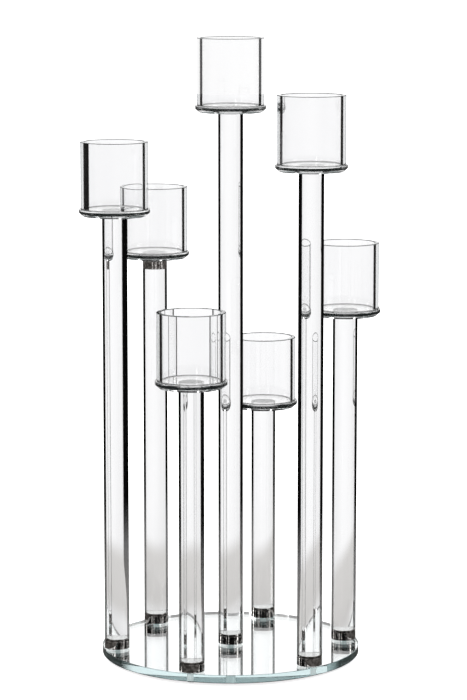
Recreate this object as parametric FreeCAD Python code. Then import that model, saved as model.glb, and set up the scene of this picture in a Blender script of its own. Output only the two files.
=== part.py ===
import FreeCAD, Part
import math
import os

# Seven-light glass menorah: seven clear rods of seven lengths on a round mirror plate.
# Each rod stands on a screwed-down metal ferrule, and carries a bevelled plate and an open cup.
# Millimetres. +Z is up, and the origin is the centre of the ground under the base.
# -Y is the front.

# ---- driving dimensions ----
base_radius = 130.0
base_glass_thickness = 8.0
backing_thickness = 0.5
backing_inset = 0.8
pad_height = 3.5
pad_radius = 6.5
pad_count = 6
pad_ring_radius = 92.0

rod_radius = 12.5
stem_ring_radius = 116.5

ferrule_height = 10.5
groove_depth = 0.5
groove_width = 0.8
groove_below_top = 1.6

plate_radius = 35.2
plate_rim_height = 3.5
plate_bevel_height = 3.5
plate_bevel_width = 4.0

cup_radius = 33.5
cup_wall = 4.3
cup_height = 66.5

bond_thickness = 0.15
bond_inset = 0.3
arris = 0.35

screw_radius = 2.5
screw_hole_radius = 3.25
screw_grip = 7.5
thread_clearance = 0.05
thread_run_out = 0.5
head_radius = 4.5
head_height = 2.0
socket_across_flats = 3.0
socket_depth = 1.2
washer_radius = 6.5
washer_thickness = 0.8

# Each stem: number from tallest to shortest, plan angle in degrees from +X (None at the centre),
# rod length, and whether a second ferrule joins the rod to its plate.
stems = [
    (1, None, 528.0, False),
    (2, 312.0, 477.0, False),
    (3, 190.0, 427.0, False),
    (4, 132.0, 362.0, True),
    (5, 8.0, 323.0, False),
    (6, 251.0, 270.0, False),
    (7, 73.0, 213.5, False),
]

# ---- levels of the base ----
backing_bottom = pad_height
glass_bottom = backing_bottom + backing_thickness
deck = glass_bottom + base_glass_thickness

up = FreeCAD.Vector(0, 0, 1)


def place(x, y, z):
    return FreeCAD.Vector(x, y, z)


def cylinder(radius, height, at):
    return Part.makeCylinder(radius, height, at, up)


def revolved(outline, at):
    """Solid of revolution about the vertical line through `at`, from (radius, height) points."""
    points = [FreeCAD.Vector(r, 0, z) for r, z in outline]
    face = Part.Face(Part.makePolygon(points + points[:1]))
    solid = face.revolve(place(0, 0, 0), up, 360)
    solid.translate(at)
    return solid


def arrised_disc(radius, height, at, edge=arris):
    """Disc or rod with a small flat on both of its round edges."""
    outline = [(0, 0), (radius - edge, 0), (radius, edge)]
    outline += [(radius, height - edge), (radius - edge, height), (0, height)]
    return revolved(outline, at)


def stem_foot(angle):
    """Point on the deck where a stem stands."""
    if angle is None:
        return place(0, 0, deck)
    turn = math.radians(angle)
    return place(stem_ring_radius * math.cos(turn), stem_ring_radius * math.sin(turn), deck)


def raised(point, height):
    return place(point.x, point.y, point.z + height)


def ring_of(count, radius, z):
    """Points evenly round a circle."""
    steps = [2 * math.pi * i / count for i in range(count)]
    return [place(radius * math.cos(a), radius * math.sin(a), z) for a in steps]


stem_feet = [stem_foot(angle) for number, angle, length, topped in stems]


def at_level(z):
    """The seven stem axes at one height."""
    return [place(foot.x, foot.y, z) for foot in stem_feet]


# ---- base ----
def drilled(disc, bottom, thickness):
    for point in at_level(bottom - 1):
        disc = disc.cut(cylinder(screw_hole_radius, thickness + 2, point))
    return disc


def base_glass():
    disc = arrised_disc(base_radius, base_glass_thickness, place(0, 0, glass_bottom), 0.5)
    return drilled(disc, glass_bottom, base_glass_thickness)


def mirror_backing():
    disc = cylinder(base_radius - backing_inset, backing_thickness, place(0, 0, backing_bottom))
    return drilled(disc, backing_bottom, backing_thickness)


def bumper_pad(at):
    """Low pad, narrower at the ground than where it sticks to the backing."""
    crown = [(0, 0), (4.6, 0), (5.5, 0.4), (6.1, 1.1), (pad_radius, 2.2), (pad_radius, pad_height)]
    return revolved(crown + [(0, pad_height)], at)


# ---- one stem, from the deck up ----
def threaded_ferrule(at):
    """Foot ferrule: a puck with a fine groove round it, tapped from below for its screw."""
    puck = grooved_puck(at)
    depth = screw_grip + thread_run_out
    return puck.cut(cylinder(screw_radius + thread_clearance, depth, at))


def grooved_puck(at):
    groove_top = ferrule_height - groove_below_top
    groove_bottom = groove_top - groove_width
    edge = 0.3
    outline = [(0, 0), (rod_radius - edge, 0), (rod_radius, edge)]
    outline += [(rod_radius, groove_bottom), (rod_radius - groove_depth, groove_bottom)]
    outline += [(rod_radius - groove_depth, groove_top), (rod_radius, groove_top)]
    outline += [(rod_radius, ferrule_height - edge), (rod_radius - edge, ferrule_height)]
    return revolved(outline + [(0, ferrule_height)], at)


def disc_bond(at):
    return cylinder(rod_radius - bond_inset, bond_thickness, at)


def rod(at, length):
    return arrised_disc(rod_radius, length, at)


def cup_plate(at):
    """Round plate with an upright rim above a wide bevel."""
    height = plate_bevel_height + plate_rim_height
    outline = [(0, 0), (plate_radius - plate_bevel_width, 0), (plate_radius, plate_bevel_height)]
    outline += [(plate_radius, height - arris), (plate_radius - arris, height), (0, height)]
    return revolved(outline, at)


def cup_bond(at):
    outer = cylinder(cup_radius - bond_inset, bond_thickness, at)
    return outer.cut(cylinder(cup_radius - cup_wall + bond_inset, bond_thickness, at))


def cup(at):
    """Open tube with its edges eased."""
    inner = cup_radius - cup_wall
    outline = [(inner + arris, 0), (cup_radius - arris, 0), (cup_radius, arris)]
    outline += [(cup_radius, cup_height - arris), (cup_radius - arris, cup_height)]
    outline += [(inner + arris, cup_height), (inner, cup_height - arris), (inner, arris)]
    return revolved(outline, at)


# ---- fixings under the base ----
def hexagon(across_flats, at):
    corners = ring_of(6, across_flats / math.sqrt(3), at.z)
    points = [place(c.x + at.x, c.y + at.y, c.z) for c in corners]
    return Part.Face(Part.makePolygon(points + points[:1]))


def screw(under_head):
    """Low-head socket screw, head down, with `under_head` on the washer."""
    head_bottom = raised(under_head, -head_height)
    head = cylinder(head_radius, head_height, head_bottom)
    shank_length = washer_thickness + backing_thickness + base_glass_thickness + screw_grip
    body = head.fuse(cylinder(screw_radius, shank_length, under_head))
    socket = hexagon(socket_across_flats, head_bottom).extrude(place(0, 0, socket_depth))
    return body.cut(socket).removeSplitter()


def washer(top):
    at = raised(top, -washer_thickness)
    disc = cylinder(washer_radius, washer_thickness, at)
    return disc.cut(cylinder(screw_radius + 0.3, washer_thickness, at))


# ---- assembly ----
parts = {}


def build_stem(number, foot, length, topped):
    """Stacks one stem's pieces, and returns its round bond films and its cup bond."""
    name = "stem_%d_" % number
    bonds = []
    parts[name + "foot_ferrule"] = threaded_ferrule(foot)
    level = raised(foot, ferrule_height)
    bonds.append(disc_bond(level))
    level = raised(level, bond_thickness)
    parts[name + "rod"] = rod(level, length)
    level = raised(level, length)
    bonds.append(disc_bond(level))
    level = raised(level, bond_thickness)
    if topped:
        parts[name + "top_ferrule"] = grooved_puck(level)
        level = raised(level, ferrule_height)
        bonds.append(disc_bond(level))
        level = raised(level, bond_thickness)
    parts[name + "cup_plate"] = cup_plate(level)
    level = raised(level, plate_bevel_height + plate_rim_height)
    ring = cup_bond(level)
    parts[name + "cup"] = cup(raised(level, bond_thickness))
    return bonds, ring


parts["base_glass"] = base_glass()
parts["mirror_backing"] = mirror_backing()
pads = [bumper_pad(point) for point in ring_of(pad_count, pad_ring_radius, 0)]
parts["bumper_pads"] = Part.makeCompound(pads)

rod_bonds = []
cup_bonds = []
for (number, angle, length, topped), foot in zip(stems, stem_feet):
    discs, ring = build_stem(number, foot, length, topped)
    rod_bonds += discs
    cup_bonds.append(ring)
parts["rod_bonds"] = Part.makeCompound(rod_bonds)
parts["cup_bonds"] = Part.makeCompound(cup_bonds)

washer_tops = at_level(backing_bottom)
parts["fixing_washers"] = Part.makeCompound([washer(top) for top in washer_tops])
seats = at_level(backing_bottom - washer_thickness)
parts["fixing_screws"] = Part.makeCompound([screw(seat) for seat in seats])

os.makedirs("parts", exist_ok=True)
for node, shape in parts.items():
    shape.exportStep("parts/%s.step" % node)
    box = shape.BoundBox
    print("%-22s z %7.2f to %7.2f  valid %s" % (node, box.ZMin, box.ZMax, shape.isValid()))
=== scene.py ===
import math
import bmesh
import bpy
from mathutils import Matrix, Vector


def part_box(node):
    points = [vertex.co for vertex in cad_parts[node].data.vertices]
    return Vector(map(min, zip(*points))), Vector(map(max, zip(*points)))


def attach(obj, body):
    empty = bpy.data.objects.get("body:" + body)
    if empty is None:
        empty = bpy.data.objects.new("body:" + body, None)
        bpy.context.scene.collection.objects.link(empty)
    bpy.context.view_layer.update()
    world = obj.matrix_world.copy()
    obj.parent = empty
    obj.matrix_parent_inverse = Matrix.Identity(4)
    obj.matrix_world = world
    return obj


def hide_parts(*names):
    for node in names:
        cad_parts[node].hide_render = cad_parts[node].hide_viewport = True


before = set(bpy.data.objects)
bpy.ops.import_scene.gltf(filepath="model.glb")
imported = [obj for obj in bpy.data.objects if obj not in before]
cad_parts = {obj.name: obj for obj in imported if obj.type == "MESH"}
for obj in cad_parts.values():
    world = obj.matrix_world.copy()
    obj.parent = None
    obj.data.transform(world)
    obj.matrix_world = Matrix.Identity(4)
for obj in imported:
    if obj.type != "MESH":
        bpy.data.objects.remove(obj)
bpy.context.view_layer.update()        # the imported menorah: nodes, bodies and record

mm = 0.001
stems = range(1, 8)      # 1 is the tallest
body = "root"


# sockets as numbers: an expression on wires adds its Math nodes

class Wire:
    def __init__(self, shader, socket):
        self.shader = shader
        self.socket = socket

    def math(self, operation, *values):
        return self.shader.node("Math", {"operation": operation}, list(values))

    def __add__(self, other):
        return self.math("ADD", self, other)

    def __sub__(self, other):
        return self.math("SUBTRACT", self, other)

    def __rsub__(self, other):
        return self.math("SUBTRACT", other, self)

    def __mul__(self, other):
        return self.math("MULTIPLY", self, other)

    def __truediv__(self, other):
        return self.math("DIVIDE", self, other)

    def __pow__(self, other):
        return self.math("POWER", self, other)

    def __abs__(self):
        return self.math("ABSOLUTE", self)

    __radd__ = __add__
    __rmul__ = __mul__

    def rise(self, start, end):                 # 0 before start, 1 after end, smooth between
        values = {"Value": self, "From Min": start, "From Max": end}
        return self.shader.node("MapRange", {"interpolation_type": "SMOOTHSTEP"}, values)


class Shader:
    def __init__(self, tree):
        self.tree = tree
        tree.nodes.clear()

    def node(self, kind, settings=None, values=None, output=0):
        made = self.tree.nodes.new("ShaderNode" + kind)
        for name, value in (settings or {}).items():
            if name == "stops":
                self.setStops(made.color_ramp, value)
            else:
                setattr(made, name, value)
        pairs = values.items() if isinstance(values, dict) else enumerate(values or [])
        for name, value in pairs:
            if isinstance(value, Wire):
                self.tree.links.new(value.socket, made.inputs[name])
            else:
                made.inputs[name].default_value = value
        return Wire(self, made.outputs[output])

    def setStops(self, ramp, stops):
        while len(ramp.elements) < len(stops):
            ramp.elements.new(0.5)
        for element, (position, colour) in zip(ramp.elements, stops):
            element.position = position
            element.color = (*colour, 1)

    def place(self, stretch=(1, 1, 1)):         # the piece's own coordinates, in metres
        spot = self.node("TexCoord", output="Object")
        return self.node("Mapping", {}, {"Vector": spot, "Scale": stretch})

    def noise(self, vector, scale, detail=3, output="Fac"):
        return self.node("TexNoise", {}, {"Vector": vector, "Scale": scale, "Detail": detail}, output)

    def mixColour(self, factor, first, second):
        made = self.tree.nodes.new("ShaderNodeMix")
        made.data_type = "RGBA"
        for socket, value in zip((made.inputs[0], made.inputs[6], made.inputs[7]), (factor, first, second)):
            if isinstance(value, Wire):
                self.tree.links.new(value.socket, socket)
            elif socket == made.inputs[0]:
                socket.default_value = value
            else:
                socket.default_value = (*value, 1)
        return Wire(self, made.outputs[2])

    def bump(self, height, strength, distance):
        return self.node("Bump", {}, {"Height": height, "Strength": strength, "Distance": distance})

    def finish(self, surface, volume=None):
        out = self.tree.nodes.new("ShaderNodeOutputMaterial")
        self.tree.links.new(surface.socket, out.inputs["Surface"])
        if volume:
            self.tree.links.new(volume.socket, out.inputs["Volume"])


def newShader(name):
    material = bpy.data.materials.new(name)
    material.use_nodes = True
    return material, Shader(material.node_tree)


# materials

glassLook = {
    "ior": 1.517,
    "outline": (0.39, 0.44),        # how side-on a wall is where its painted edge shade starts and is full
    "outlineFade": (0.07, 0.17),    # heights over which a rod's painted edge shade gains its last 0.3
    "wideFade": (0.05, 0.11),       # heights over which a wider painted edge shade gains its width
    "innerLine": (0.217, 0.229, 0.264, 0.278),      # the same as the edge shade, for the painted shade line at a tube's bore
    "bandTop": (1.0 * mm, 1.5 * mm),        # depths at which the painted shade band of a plate's rim starts and ends
    "bandFoot": (3.8 * mm, 4.4 * mm),       # starts and ends
    "baseSide": (0.34, 0.50),       # how side-on the base's edge is where painted shade turns it dark
    "baseBores": (0.122, 0.126),    # between the outermost bore and the edge of the base
    "shade": (0.004, 0.004, 0.004, 1),
    "rimShade": (0.010, 0.014, 0.014, 1),
    "tealShade": (0.012, 0.024, 0.022, 1),
    "clear": (0.994, 0.994, 0.996),
    "streak": (0.976, 0.977, 0.98),
}


def glassBody(shader, colour, normal, ior, extra=None):
    values = {
        "Base Color": colour,
        "Roughness": 0.0,
        "IOR": ior,
        "Transmission Weight": 1.0,
        "Specular IOR Level": 0.5,
    }
    if normal:
        values["Normal"] = normal
    values.update(extra or {})
    return shader.node("BsdfPrincipled", {}, values)


def darkened(shader, glass, amount, colour, rough=1.0, gloss=0.0):
    values = {"Base Color": colour, "Roughness": rough, "Specular IOR Level": gloss}
    dark = shader.node("BsdfPrincipled", {}, values)
    return shader.node("MixShader", {}, [amount, glass, dark])


def sideOn(shader):                             # 0 where a wall faces the eye, 1 where it is seen edge on
    return shader.node("LayerWeight", {}, {"Blend": 0.5}, "Facing")


def sideOnRound(shader):                        # the same for an upright round seen from any height
    upright = shader.node("CombineXYZ", {}, [0.0, 0.0, 1.0])
    steep = 1 - shader.node("LayerWeight", {}, {"Blend": 0.5, "Normal": upright}, "Facing")
    across = (1 - steep * steep) ** 0.5
    return 1 - (1 - sideOn(shader)) / across


def crystalGlass(shader, ripple):
    drawn = shader.noise(shader.place((60, 60, 5)), 1.0, 2)          # soft streaks from drawing
    clear = shader.mixColour(drawn.rise(0.35, 0.75), glassLook["clear"], glassLook["streak"])
    normal = shader.bump(drawn, ripple, 0.0002)
    return glassBody(shader, clear, normal, glassLook["ior"])


def spotOn(shader):                             # x, y and z of a spot, as three wires
    spot = shader.node("SeparateXYZ", {}, [shader.node("TexCoord", output="Object")])
    return [Wire(shader, socket) for socket in spot.socket.node.outputs]


def makeRodWall(name, middle, radius, wider):   # wider: how much sooner the painted edge shade starts on the left and right
    material, shader = newShader(name)
    glass = crystalGlass(shader, 0.03)
    x, y, height = spotOn(shader)
    across = (x - middle) / radius
    sides = wider[0] * (0 - across).rise(0.2, 0.5) + wider[1] * across.rise(0.2, 0.5)
    sooner = sides * height.rise(*glassLook["wideFade"])
    start, full = glassLook["outline"]
    # painted shade where a rod is seen side on, weaker near the foot
    outline = sideOnRound(shader).rise(start - sooner, full - sooner)
    amount = outline * (0.70 + 0.30 * height.rise(*glassLook["outlineFade"]))
    shader.finish(darkened(shader, glass, amount, glassLook["shade"]))
    return material


def makeClearFace():
    material, shader = newShader("clearFace")
    shader.finish(crystalGlass(shader, 0.02))
    return material


def makePlateRim(name, top):                    # a band of painted shade round the rim, with a few clear runs
    material, shader = newShader(name)
    glass = crystalGlass(shader, 0.02)
    runs = shader.noise(shader.place((0.7, 0.7, 9)), 110.0, 2)
    inside = shader.node("NewGeometry", output="Backfacing")
    depth = top - spotOn(shader)[2]
    shadeBand = depth.rise(*glassLook["bandTop"]) * (1 - depth.rise(*glassLook["bandFoot"]))
    amount = shadeBand * (0.98 - 0.38 * runs.rise(0.56, 0.74)) * (1 - 0.5 * inside)
    shader.finish(darkened(shader, glass, amount, glassLook["rimShade"], 0.08, 0.25))
    return material


def makeCupBore(name, middle, wider):           # wider: how much sooner the painted shade line starts on the left
    material, shader = newShader(name)
    glass = crystalGlass(shader, 0.01)
    start, full, fading, gone = glassLook["innerLine"]
    facing = sideOnRound(shader)
    inside = shader.node("NewGeometry", output="Backfacing")          # 1 for light inside the wall
    sooner = wider * (middle - spotOn(shader)[0]).rise(0.0, 0.01)
    # a line of painted shade where the bore is seen side on from inside the wall
    boreShade = facing.rise(start - sooner, full - sooner) * (1 - facing.rise(fading, gone)) * inside
    shader.finish(darkened(shader, glass, boreShade, glassLook["shade"]))
    return material


def makeShadeLine(name, strength):                   # a fine line of painted shade round a ground foot or a cup's rim
    material, shader = newShader(name)
    glass = crystalGlass(shader, 0.02)
    broken = shader.noise(shader.place(), 260.0, 2)
    shader.finish(darkened(shader, glass, strength * (0.7 + 0.5 * broken), glassLook["rimShade"]))
    return material


def makeContact(name, haze):                    # where two pieces are bonded: no gap, so no bending
    material, shader = newShader(name)
    cloud = shader.noise(shader.place(), 700.0, 3)
    through = glassBody(shader, (0.97, 0.975, 0.975, 1), None, 1.0)
    film = shader.mixColour(cloud, (0.62, 0.63, 0.63), (0.78, 0.79, 0.79))
    milky = shader.node("BsdfPrincipled", {}, {"Base Color": film, "Roughness": 0.6})
    factor = haze * (0.7 + 0.6 * cloud)
    shader.finish(shader.node("MixShader", {}, [factor, through, milky]))
    return material


def makeBaseGlass():                            # one material, so that its tint fills the whole plate
    material, shader = newShader("baseGlass")
    ripple = shader.noise(shader.place(), 18.0, 2)
    tint = shader.mixColour(ripple, (0.992, 0.997, 0.996), (0.985, 0.995, 0.994))
    normal = shader.bump(ripple, 0.01, 0.0004)
    glass = glassBody(shader, tint, normal, glassLook["ior"])
    upright = shader.node("SeparateXYZ", {}, [shader.node("TexCoord", output="Normal")], 2)
    level = abs(upright)
    x, y, z = spotOn(shader)
    upstanding = 1 - level.rise(0.3, 0.5)
    sideShade = sideOnRound(shader).rise(*glassLook["baseSide"]) * upstanding * 0.93
    # painted shade on the arrises, lighter on the upper one
    arris = level.rise(0.4, 0.6) * (1 - level.rise(0.85, 0.95)) * (0.85 - 0.4 * z.rise(0.005, 0.007))
    edge = darkened(shader, glass, sideShade + arris, glassLook["tealShade"], 0.2, 0.3)
    away = (x * x + y * y) ** 0.5
    bored = (1 - away.rise(*glassLook["baseBores"])) * upstanding
    frostedWithGlow = shader.node("BsdfPrincipled", {}, {       # matt bores with a painted glow that stands for scattered light
        "Base Color": (0.80, 0.90, 0.90, 1),
        "Roughness": 0.6,
        "Emission Color": (0.66, 0.77, 0.77, 1),
        "Emission Strength": 0.5,
    })
    surface = shader.node("MixShader", {}, [bored * 0.9, edge, frostedWithGlow])
    volume = shader.node("VolumeAbsorption", {}, {"Color": (0.886, 0.955, 0.958, 1), "Density": 10.0})
    shader.finish(surface, volume)
    return material


def makeSilver():
    material, shader = newShader("silver")
    cloud = shader.noise(shader.place(), 30.0, 3)
    colour = shader.mixColour(cloud, (0.985, 0.987, 0.99), (0.975, 0.979, 0.983))
    values = {"Base Color": colour, "Metallic": 1.0, "Roughness": 0.0}
    shader.finish(shader.node("BsdfPrincipled", {}, values))
    return material


def makeNickel(name, dark, light, rough):
    material, shader = newShader(name)
    turned = shader.noise(shader.place((1, 1, 40)), 90.0, 4)          # faint lines left by turning
    smear = shader.noise(shader.place(), 380.0, 4)
    values = {
        "Base Color": shader.mixColour(smear.rise(0.38, 0.64), dark, light),
        "Metallic": 1.0,
        "Roughness": rough * (0.6 + 0.8 * smear.rise(0.35, 0.8)),
        "Normal": shader.bump(turned + 0.5 * smear, 0.04, 0.00005),
    }
    shader.finish(shader.node("BsdfPrincipled", {}, values))
    return material


def makeSolid(name, dark, light, scale, rough, metallic=0.0, grain=0.3, extra=None):
    material, shader = newShader(name)
    speckle = shader.noise(shader.place(), scale, 5)
    values = {
        "Base Color": shader.mixColour(speckle.rise(0.25, 0.75), dark, light),
        "Roughness": rough * (0.8 + 0.4 * speckle),
        "Metallic": metallic,
        "Normal": shader.bump(speckle, grain, 0.00008),
    }
    values.update(extra or {})
    shader.finish(shader.node("BsdfPrincipled", {}, values))
    return material


clearFace = makeClearFace()
seam = makeShadeLine("seam", 0.6)
rimSeam = makeShadeLine("rimSeam", 0.9)
contact = makeContact("bondedFace", 0.10)
bondFilm = makeContact("bondFilm", 0.16)
footContact = makeContact("bondedFoot", 0.02)
footFilm = makeContact("footFilm", 0.03)
baseGlass = makeBaseGlass()
silver = makeSilver()
# one nickel at three levels: the sides darker than bare nickel, the groove as painted shade, the flat ends
# as painted light
nickel = makeNickel("polishedNickel", (0.18, 0.167, 0.158), (0.64, 0.612, 0.592), 0.022)
grooveNickel = makeNickel("grooveNickel", (0.03, 0.028, 0.027), (0.06, 0.056, 0.054), 0.35)
paintedLitNickel = makeNickel("bondedNickel", (0.90, 0.90, 0.885), (0.95, 0.95, 0.94), 0.25)
backPaint = makeSolid("backPaint", (0.36, 0.37, 0.38), (0.43, 0.44, 0.45), 220.0, 0.55)
padRubber = makeSolid(
    "padRubber", (0.68, 0.69, 0.68), (0.78, 0.79, 0.78), 350.0, 0.45, extra={"Coat Weight": 0.15})
nylon = makeSolid("nylon", (0.80, 0.79, 0.75), (0.88, 0.87, 0.84), 500.0, 0.5)
zinc = makeSolid("zincSteel", (0.52, 0.53, 0.55), (0.68, 0.69, 0.71), 600.0, 0.32, metallic=1.0)
print("materials made")


# modelling helpers

def deselectAll():
    if bpy.context.object and bpy.context.object.mode != "OBJECT":
        bpy.ops.object.mode_set(mode="OBJECT")
    bpy.ops.object.select_all(action="DESELECT")


def onlySelect(piece):
    deselectAll()
    piece.select_set(True)
    bpy.context.view_layer.objects.active = piece


def addCylinder(name, radius, low, high, centre=(0, 0), sides=128, ends="NGON"):
    deselectAll()
    middle = (centre[0], centre[1], (low + high) / 2)
    bpy.ops.mesh.primitive_cylinder_add(
        vertices=sides, radius=radius, depth=high - low, end_fill_type=ends, location=middle)
    piece = bpy.context.object
    piece.name = piece.data.name = name
    bpy.ops.object.transform_apply(location=True, rotation=False, scale=False)
    return piece


def startEditing(piece, mode):
    onlySelect(piece)
    bpy.ops.object.mode_set(mode="EDIT")
    bpy.ops.mesh.select_mode(type=mode)


def pick(piece, wanted, kind="faces"):          # selects the faces or edges that pass a test
    bpy.ops.mesh.select_all(action="DESELECT")
    mesh = bmesh.from_edit_mesh(piece.data)
    for item in getattr(mesh, kind):
        if wanted(item):
            item.select_set(True)
    bmesh.update_edit_mesh(piece.data)


def levelFace(z, radius=1.0):                   # a flat face at one height, within a radius
    def test(face):
        middle = face.calc_center_median()
        return abs(face.normal.z) > 0.99 and abs(middle.z - z) < 0.01 * mm and widest(face) < radius
    return test


def wallFace(z):                                # an upright face whose middle is at one height
    def test(face):
        return abs(face.normal.z) < 0.1 and abs(face.calc_center_median().z - z) < 0.1 * mm
    return test


def widest(item):
    return max(math.hypot(v.co.x, v.co.y) for v in item.verts)


def rimEdge(radius, z):                         # the edges of one round rim about the origin
    def test(edge):
        ends = edge.verts
        level = all(abs(v.co.z - z) < 0.01 * mm for v in ends)
        return level and all(abs(math.hypot(v.co.x, v.co.y) - radius) < 0.06 * mm for v in ends)
    return test


def bevelRims(piece, rims, width, segments=1):
    bpy.ops.mesh.select_mode(type="EDGE")
    tests = [rimEdge(radius, z) for radius, z in rims]
    pick(piece, lambda edge: any(test(edge) for test in tests), "edges")
    bpy.ops.mesh.bevel(offset=width, segments=segments, profile=0.5, affect="EDGES")
    bpy.ops.mesh.select_mode(type="FACE")


def paint(piece, materials, choose):            # choose gives each face its material's number
    bpy.ops.object.mode_set(mode="OBJECT")
    piece.data.materials.clear()
    for material in materials:
        piece.data.materials.append(material)
    for face in piece.data.polygons:
        face.material_index = choose(face)


def smooth(piece):
    onlySelect(piece)
    bpy.ops.object.shade_smooth_by_angle(angle=math.radians(8))


def settle(piece, nodes):
    smooth(piece)
    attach(piece, body)
    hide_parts(*nodes)


def copyTo(model, name, at):                    # a copy with its own mesh, moved and applied
    onlySelect(model)
    bpy.ops.object.duplicate(linked=False)
    piece = bpy.context.object
    piece.name = piece.data.name = name
    bpy.ops.transform.translate(value=at)
    bpy.ops.object.transform_apply(location=True, rotation=False, scale=False)
    return piece


def joinAll(name, pieces):
    deselectAll()
    for piece in pieces:
        piece.select_set(True)
    bpy.context.view_layer.objects.active = pieces[0]
    bpy.ops.object.join()
    pieces[0].name = pieces[0].data.name = name
    return pieces[0]


def discard(piece):
    bpy.data.objects.remove(piece, do_unlink=True)


def axisOf(node):
    low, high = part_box(node)
    return (low.x + high.x) / 2, (low.y + high.y) / 2


def sizeOf(node):
    low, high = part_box(node)
    return (high.y - low.y) / 2, high.z - low.z


def stemNode(number, part):
    return "stem_%d_%s" % (number, part)


# rods: drawn crystal rounds with eased ends

rodShape = {
    "arris": 0.35 * mm,
    "sides": 128,
    "wider": {1: (0, 0.06), 2: (0.12, 0.05), 3: (0, 0.24), 6: (0, 0.12)},
}


def makeRod(number):
    node = stemNode(number, "rod")
    low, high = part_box(node)
    radius = sizeOf(node)[0]
    piece = addCylinder("rodModel", radius, low.z, high.z, sides=rodShape["sides"])
    startEditing(piece, "EDGE")
    bevelRims(piece, [(radius, low.z), (radius, high.z)], rodShape["arris"], 2)
    wider = rodShape["wider"].get(number, (0, 0))        # some rods' painted edge shade is wider on one side
    wall = makeRodWall("rodWall%d" % number, axisOf(node)[0], radius, wider)
    paint(piece, [wall, contact, footContact], rodMaterial)
    moved = copyTo(piece, "crystalRod%d" % number, (*axisOf(node), 0))
    discard(piece)
    settle(moved, [node])


def rodMaterial(face):
    if face.normal.z > 0.99:
        return 1
    return 2 if face.normal.z < -0.99 else 0


for number in stems:
    makeRod(number)
print("rods made")


# ferrules: turned pucks with one fine groove, the foot ones tapped from below

ferruleShape = {
    "sides": 128,
    "grooveDepth": 0.5 * mm,
    "grooveWidth": 0.8 * mm,
    "grooveBelowTop": 1.6 * mm,
    "boreRadius": 2.55 * mm,
    "boreDepth": 8.0 * mm,
    "footGap": 0.02 * mm,           # keeps the polished underside off the glass it stands on
    "rimRound": 0.14 * mm,
}
ferruleRadius, ferruleHeight = sizeOf("stem_1_foot_ferrule")


def makeFerrule(name, tapped):
    shape = ferruleShape
    radius, height = ferruleRadius, ferruleHeight
    foot = shape["footGap"]
    piece = addCylinder(name, radius, foot, height, sides=shape["sides"])
    startEditing(piece, "FACE")
    grooveTop = height - shape["grooveBelowTop"]
    grooveBottom = grooveTop - shape["grooveWidth"]
    for level in (grooveTop, grooveBottom):
        bpy.ops.mesh.select_all(action="SELECT")
        bpy.ops.mesh.bisect(plane_co=(0, 0, level), plane_no=(0, 0, 1))
    middle = (grooveTop + grooveBottom) / 2
    pick(piece, wallFace(middle))
    bpy.ops.mesh.extrude_region_move()
    shrink = 1 - shape["grooveDepth"] / radius
    bpy.ops.transform.resize(value=(shrink, shrink, 1), center_override=(0, 0, middle))
    if tapped:
        pick(piece, levelFace(foot))
        bpy.ops.mesh.inset(thickness=radius - shape["boreRadius"], depth=0)
        bpy.ops.mesh.extrude_region_move(TRANSFORM_OT_translate={"value": (0, 0, shape["boreDepth"])})
    rims = [(radius, foot), (radius, grooveBottom), (radius, grooveTop), (radius, height)]
    bevelRims(piece, rims, shape["rimRound"], 2)
    paint(piece, [nickel, grooveNickel, paintedLitNickel], ferruleMaterial)
    return piece


def ferruleMaterial(face):
    shape = ferruleShape
    depth = ferruleHeight - face.center.z
    atEnd = depth < 0.01 * mm or face.center.z < 0.1 * mm
    # flat ends get the painted-light nickel, the groove the painted-shade nickel
    if atEnd and abs(face.normal.z) > 0.99:
        return 2
    inGroove = shape["grooveBelowTop"] < depth < shape["grooveBelowTop"] + shape["grooveWidth"]
    return 1 if inGroove else 0


footModel = makeFerrule("footFerrule", True)
topModel = makeFerrule("topFerrule", False)
for node in sorted(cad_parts):
    if node.endswith("_ferrule"):
        low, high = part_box(node)
        model = footModel if "foot" in node else topModel
        name = model.name + node.split("_")[1]
        settle(copyTo(model, name, (*axisOf(node), low.z)), [node])
discard(footModel)
discard(topModel)
print("ferrules made")


# plates: an upright rim over a wide bevel, with the bonded areas as faces of their own

plateShape = {
    "sides": 160,
    "rimHeight": 3.5 * mm,
    "footRadius": 31.2 * mm,
    "bondRadius": 12.2 * mm,
    "ringInner": 29.5 * mm,
    "ringOuter": 33.2 * mm,
    "arris": 0.22 * mm,
}


def makePlate():
    shape = plateShape
    radius, height = sizeOf("stem_1_cup_plate")
    rimLow = height - shape["rimHeight"]
    piece = addCylinder("cupPlate", radius, rimLow, height, sides=shape["sides"])
    startEditing(piece, "FACE")
    pick(piece, levelFace(rimLow))
    bpy.ops.mesh.extrude_region_move(TRANSFORM_OT_translate={"value": (0, 0, -rimLow)})
    taper = shape["footRadius"] / radius
    bpy.ops.transform.resize(value=(taper, taper, 1), center_override=(0, 0, 0))
    bevelRims(piece, [(radius, height), (radius, rimLow), (shape["footRadius"], 0)], shape["arris"], 2)
    pick(piece, levelFace(0))
    bpy.ops.mesh.inset(thickness=shape["footRadius"] - shape["arris"] - shape["bondRadius"], depth=0)
    pick(piece, levelFace(height))
    bpy.ops.mesh.inset(thickness=radius - shape["arris"] - shape["ringOuter"], depth=0)
    bpy.ops.mesh.inset(thickness=shape["ringOuter"] - shape["ringInner"], depth=0)
    paint(piece, [clearFace, clearFace, contact], plateMaterial)
    return piece


def plateMaterial(face):
    away = math.hypot(face.center.x, face.center.y)
    if face.normal.z < -0.99:
        return 2 if away < plateShape["bondRadius"] else 0
    if face.normal.z > 0.99:
        spread = plateShape["ringInner"] < away < plateShape["ringOuter"]
        return 2 if spread else 0
    return 1 if face.normal.z < 0.2 else 0


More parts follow.
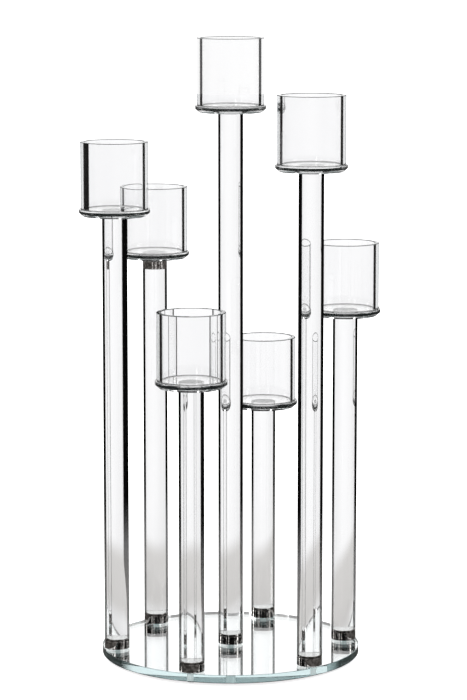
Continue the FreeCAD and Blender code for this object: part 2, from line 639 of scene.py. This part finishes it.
plateModel = makePlate()
for number in stems:
    node = stemNode(number, "cup_plate")
    low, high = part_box(node)
    piece = copyTo(plateModel, "cupPlate%d" % number, (*axisOf(node), low.z))
    piece.data.materials[1] = makePlateRim("plateRim%d" % number, high.z)
    settle(piece, [node])
discard(plateModel)
print("plates made")


# cups: open tubes with rounded rims

cupShape = {"sides": 160, "wall": 4.3 * mm, "rimRound": 0.55 * mm, "wider": {3: 0.05}}
cupRadius, cupHeight = sizeOf("stem_1_cup")


def makeCup():
    radius, height = cupRadius, cupHeight
    piece = addCylinder("glassCup", radius, 0, height, sides=cupShape["sides"], ends="NOTHING")
    thicken = piece.modifiers.new("wall", "SOLIDIFY")
    thicken.thickness = cupShape["wall"]
    thicken.offset = -1
    thicken.use_even_offset = True
    bpy.ops.object.modifier_apply(modifier=thicken.name)
    startEditing(piece, "EDGE")
    inner = radius - cupShape["wall"]
    rims = [(r, z) for r in (radius, inner) for z in (0, height)]
    bevelRims(piece, rims, cupShape["rimRound"], 3)
    paint(piece, [clearFace, clearFace, contact, seam, rimSeam], cupMaterial)
    return piece


def cupMaterial(face):
    if face.normal.z < -0.99:
        return 2
    if not cupShape["rimRound"] < face.center.z < cupHeight - cupShape["rimRound"]:
        atTop = face.center.z > cupHeight / 2
        return (4 if atTop else 3) if abs(face.normal.z) < 0.99 else 0
    facesIn = face.normal.x * face.center.x + face.normal.y * face.center.y < 0
    return 1 if facesIn and abs(face.normal.z) < 0.1 else 0


cupModel = makeCup()
for number in stems:
    node = stemNode(number, "cup")
    middle = axisOf(node)
    piece = copyTo(cupModel, "glassCup%d" % number, (*middle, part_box(node)[0].z))
    wider = cupShape["wider"].get(number, 0.0)
    piece.data.materials[1] = makeCupBore("cupBore%d" % number, middle[0], wider)
    settle(piece, [node])
discard(cupModel)
print("cups made")


# bond films: cured adhesive with a slightly bulged edge

bondShape = {"radius": 12.1 * mm, "gap": 0.012 * mm, "bulge": 1.006, "sides": 96}


def makeDiscBond(name, centre, low, high):
    shape = bondShape
    bottom, top = low + shape["gap"], high - shape["gap"]
    piece = addCylinder(name, shape["radius"], bottom, top, sides=shape["sides"])
    startEditing(piece, "FACE")
    bpy.ops.mesh.select_all(action="SELECT")
    middle = (bottom + top) / 2
    bpy.ops.mesh.bisect(plane_co=(0, 0, middle), plane_no=(0, 0, 1))
    bpy.ops.mesh.select_mode(type="EDGE")
    pick(piece, rimEdge(shape["radius"], middle), "edges")
    bpy.ops.transform.resize(value=(shape["bulge"], shape["bulge"], 1), center_override=(0, 0, middle))
    atFoot = high < 30 * mm
    paint(piece, [footFilm if atFoot else bondFilm], lambda face: 0)
    moved = copyTo(piece, name, (*centre, 0))
    discard(piece)
    return moved


def makeRodBonds():
    discs = []
    for number in stems:
        rodLow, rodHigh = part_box(stemNode(number, "rod"))
        centre = axisOf(stemNode(number, "rod"))
        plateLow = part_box(stemNode(number, "cup_plate"))[0].z
        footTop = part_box(stemNode(number, "foot_ferrule"))[1].z
        joints = [(footTop, rodLow.z)]
        topFerrule = stemNode(number, "top_ferrule")
        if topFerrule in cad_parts:
            ferruleLow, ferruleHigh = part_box(topFerrule)
            joints += [(rodHigh.z, ferruleLow.z), (ferruleHigh.z, plateLow)]
        else:
            joints.append((rodHigh.z, plateLow))
        discs += [makeDiscBond("rodBond", centre, low, high) for low, high in joints]
    settle(joinAll("rodBonds", discs), ["rod_bonds"])


def makeCupBonds():
    shape, plate = bondShape, plateShape
    rings = []
    for number in stems:
        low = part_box(stemNode(number, "cup_plate"))[1].z + shape["gap"]
        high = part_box(stemNode(number, "cup"))[0].z - shape["gap"]
        ring = addCylinder("cupBond", plate["ringOuter"], low, high, sides=plate["sides"], ends="NOTHING")
        thicken = ring.modifiers.new("wall", "SOLIDIFY")
        thicken.thickness = plate["ringOuter"] - plate["ringInner"]
        thicken.offset = -1
        thicken.use_even_offset = True
        bpy.ops.object.modifier_apply(modifier=thicken.name)
        paint(ring, [bondFilm], lambda face: 0)
        rings.append(copyTo(ring, "cupBond", (*axisOf(stemNode(number, "cup")), 0)))
        discard(ring)
    settle(joinAll("cupBonds", rings), ["cup_bonds"])


makeRodBonds()
makeCupBonds()
print("bonds made")


# base: thick mirror plate, silvered and painted on its back, drilled for the screws

baseShape = {
    "sides": 256,
    "arris": 0.5 * mm,
    "holeRadius": 3.25 * mm,
    "holeSides": 48,
    "paintGap": 0.02 * mm,
}


def drill(piece, low, high):
    cutters = []
    for number in stems:
        centre = axisOf(stemNode(number, "rod"))
        cutters.append(addCylinder(
            "cutter", baseShape["holeRadius"], low - mm, high + mm, centre, baseShape["holeSides"]))
    cutter = joinAll("cutter", cutters)
    onlySelect(piece)
    drilling = piece.modifiers.new("drill", "BOOLEAN")
    drilling.operation = "DIFFERENCE"
    drilling.solver = "EXACT"
    drilling.object = cutter
    bpy.ops.object.modifier_apply(modifier=drilling.name)
    discard(cutter)


def makeBase():
    low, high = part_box("base_glass")
    radius = sizeOf("base_glass")[0]
    piece = addCylinder("mirrorPlate", radius, low.z, high.z, sides=baseShape["sides"])
    startEditing(piece, "EDGE")
    bevelRims(piece, [(radius, low.z), (radius, high.z)], baseShape["arris"])
    bpy.ops.object.mode_set(mode="OBJECT")
    drill(piece, low.z, high.z)
    paint(piece, [baseGlass, silver], lambda face: 1 if face.normal.z < -0.99 else 0)
    settle(piece, ["base_glass"])


def makeBacking():
    low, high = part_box("mirror_backing")
    radius = sizeOf("mirror_backing")[0]
    top = high.z - baseShape["paintGap"]
    piece = addCylinder("mirrorBacking", radius, low.z, top, sides=baseShape["sides"])
    startEditing(piece, "EDGE")
    bevelRims(piece, [(radius, low.z)], 0.2 * mm)
    bpy.ops.object.mode_set(mode="OBJECT")
    drill(piece, low.z, top)
    paint(piece, [backPaint], lambda face: 0)
    settle(piece, ["mirror_backing"])


makeBase()
makeBacking()
print("base made")


# small parts under the base keep their CAD shapes

for node, material in (("bumper_pads", padRubber), ("fixing_washers", nylon), ("fixing_screws", zinc)):
    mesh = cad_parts[node].data
    mesh.materials.clear()
    mesh.materials.append(material)
print("small parts finished")


# studio: pale floor and soft light all round; glass and metal see other levels of it, by kind of ray

studio = {
    "floorRadius": 9.0,
    "plainLight": 1.4,
    "floorGlow": 0.8,              # for the camera's rays only: it keeps the base's shadow faint
    "throughGlass": 1.025,
    "mirrorGain": 0.12,
    "lightDip": 0.05,               # how much softer the light is towards the corners of the room
    "roomTurn": 0.55,
    "floorWhite": (0.93, 0.93, 0.935),
    "floorThroughGlass": (0.77, 0.77, 0.775),
    "floorNear": (0.528, 0.519, 0.510),
    "darkInside": (0.15, 0.25),     # the ring of painted shade on the floor, seen through the rods' feet, starts and ends at these distances
    "darkOutside": (0.44, 0.57),    # starts and ends at these distances
    "darkAside": (0.06, 0.0, 0.0),      # how far the ring is off centre
    "floorDeep": (0.42, 0.47, 0.475),
    "floorInMetal": (0.125, 0.121, 0.117),
    "cameraPosition": (2.88 * mm, -2861.5 * mm, 749.9 * mm),
    "cameraPitch": 8.688,
    "lens": 148.5,
    "sensor": 36.0,
}


def cornerDip(x, y):                            # 1 at the middle of each side, lower at the corners
    turn = x.math("ARCTAN2", x, y) * 4.0 - studio["roomTurn"]
    return 1 - studio["lightDip"] * (1 - turn.math("COSINE", turn))


def makeFloor():
    deselectAll()
    bpy.ops.mesh.primitive_circle_add(vertices=128, radius=studio["floorRadius"], fill_type="NGON")
    floor = bpy.context.object
    floor.name = "floor"
    material, shader = newShader("paleFloor")
    spot = shader.node("TexCoord", output="Object")
    beside = shader.node("VectorMath", {"operation": "ADD"}, [spot, studio["darkAside"]], "Vector")
    away = shader.node("VectorMath", {"operation": "LENGTH"}, [beside], "Value")
    rays = shader.tree.nodes.new("ShaderNodeLightPath").outputs
    seen, reflected = Wire(shader, rays["Is Camera Ray"]), Wire(shader, rays["Is Reflection Ray"])
    # rays other than the camera's see painted shade on the floor: dimmer towards the corners, a darker ring
    # near the piece, darker deep in the base's edge, dark in metal
    ring = away.rise(*studio["darkInside"]) * (1 - away.rise(*studio["darkOutside"]))
    x, y, z = spotOn(shader)
    bright = cornerDip(x, y)
    open = shader.mixColour(bright, (0, 0, 0), studio["floorThroughGlass"])
    deepShade = Wire(shader, rays["Glossy Depth"]).rise(2.4, 2.6)      # painted shade seen in the base's edge
    shadedNear = shader.mixColour(ring, open, studio["floorNear"])
    behind = shader.mixColour(deepShade, shadedNear, studio["floorDeep"])
    lit = shader.mixColour(seen, behind, studio["floorWhite"])
    colour = shader.mixColour(reflected, lit, studio["floorInMetal"])
    glow = shader.node("Emission", {}, {"Color": (1, 1, 1, 1), "Strength": seen * studio["floorGlow"]})
    values = {"Base Color": colour, "Roughness": 0.9, "Specular IOR Level": 0.0}
    matt = shader.node("BsdfPrincipled", {}, values)
    shader.finish(shader.node("AddShader", {}, [matt, glow]))
    floor.data.materials.append(material)


def makeWorld():
    world = bpy.data.worlds.new("studio")
    bpy.context.scene.world = world
    world.use_nodes = True
    shader = Shader(world.node_tree)
    direction = shader.node("TexCoord", output="Generated")
    parts = shader.node("SeparateXYZ", {}, [direction])
    x, y, z = [Wire(shader, socket) for socket in parts.socket.node.outputs]
    turn = x.math("ARCTAN2", x, y) * (180 / math.pi)
    wide = 1 - turn.math("PINGPONG", turn - 20, 45.0).rise(2.0, 3.5)      # upright lights all round
    slim = 1 - turn.math("PINGPONG", turn + 9, 32.5).rise(0.8, 1.6)
    low = 1 - z.rise(0.45, 0.6)
    room = 0.010 + (4.4 * wide + 3.2 * slim) * low + 0.6 * z.rise(0.8, 0.9)
    rays = shader.tree.nodes.new("ShaderNodeLightPath").outputs
    plain = 1 - (1 - Wire(shader, rays["Is Camera Ray"])) * (1 - Wire(shader, rays["Is Diffuse Ray"]))
    bounces = Wire(shader, rays["Glossy Depth"])
    odd = bounces.math("PINGPONG", bounces, 1.0)
    paired = bounces.rise(1.4, 1.6) * (1 - odd)     # metal shows the dark room by way of the mirror
    mirrored = bounces.rise(0.4, 0.6) * z.rise(0.0, 0.05)
    field = studio["throughGlass"] * cornerDip(x, y) + studio["mirrorGain"] * mirrored
    light = plain * studio["plainLight"] + (1 - plain) * (room * paired + field * (1 - paired))
    background = shader.node("Background", {}, {"Color": (1, 1, 1, 1), "Strength": light})
    out = shader.tree.nodes.new("ShaderNodeOutputWorld")
    shader.tree.links.new(background.socket, out.inputs["Surface"])


def makeCamera():
    camera = bpy.data.cameras.new("camera")
    camera.lens = studio["lens"]
    camera.sensor_width = studio["sensor"]
    camera.clip_start = 0.05
    camera.clip_end = 60
    holder = bpy.data.objects.new("camera", camera)
    bpy.context.scene.collection.objects.link(holder)
    holder.location = studio["cameraPosition"]
    holder.rotation_euler = (math.radians(90 - studio["cameraPitch"]), 0, 0)
    bpy.context.scene.camera = holder


def tuneRender():
    scene = bpy.context.scene
    scene.view_settings.view_transform = "Standard"
    scene.cycles.max_bounces = 40
    scene.cycles.transmission_bounces = 36
    scene.cycles.glossy_bounces = 16
    scene.cycles.transparent_max_bounces = 24


makeFloor()
makeWorld()
makeCamera()
tuneRender()
print("studio ready")
